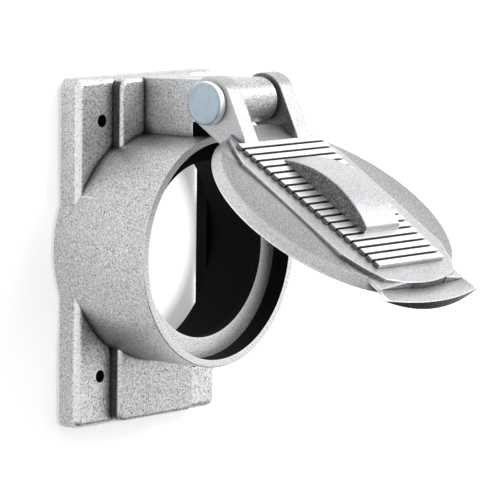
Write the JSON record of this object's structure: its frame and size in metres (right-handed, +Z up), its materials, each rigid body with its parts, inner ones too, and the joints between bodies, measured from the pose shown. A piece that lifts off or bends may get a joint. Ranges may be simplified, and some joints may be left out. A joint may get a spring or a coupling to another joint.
{
  "type": "power inlet lift-cover plate",
  "caption": "Cast cover plate with a deep round collar for a flanged power inlet and a ribbed, hinged lid that lifts on a pin above the collar.",
  "frame": {"origin": "on the collar's axis, in the back plane that sits on the box", "axes": "+X to the right seen from the front, +Y into the wall, +Z up"},
  "size_m": [0.086, 0.1302, 0.1184],
  "materials": {
    "cast_aluminium": "die-cast, tumbled, fine grain",
    "lid_aluminium": "die-cast, fine grain, bright rib tops",
    "pin_steel": "zinc plated",
    "spring_steel": "plain spring steel",
    "black_rubber": "matt black"
  },
  "bodies": {
    "plate": {"cover_plate": "cast_aluminium", "friction_washer_left": "spring_steel", "friction_washer_right": "spring_steel"},
    "lid": {"lid": "lid_aluminium", "lid_gasket": "black_rubber", "hinge_pin": "pin_steel", "pin_retaining_ring": "spring_steel"}
  },
  "joints": [
    {"name": "lid_hinge", "type": "hinge", "parent": "plate", "child": "lid", "pos_m": [0, -0.0483, 0.0504], "axis": [-1, 0, 0], "range_deg": [-57.5, 122.5]}
  ]
}
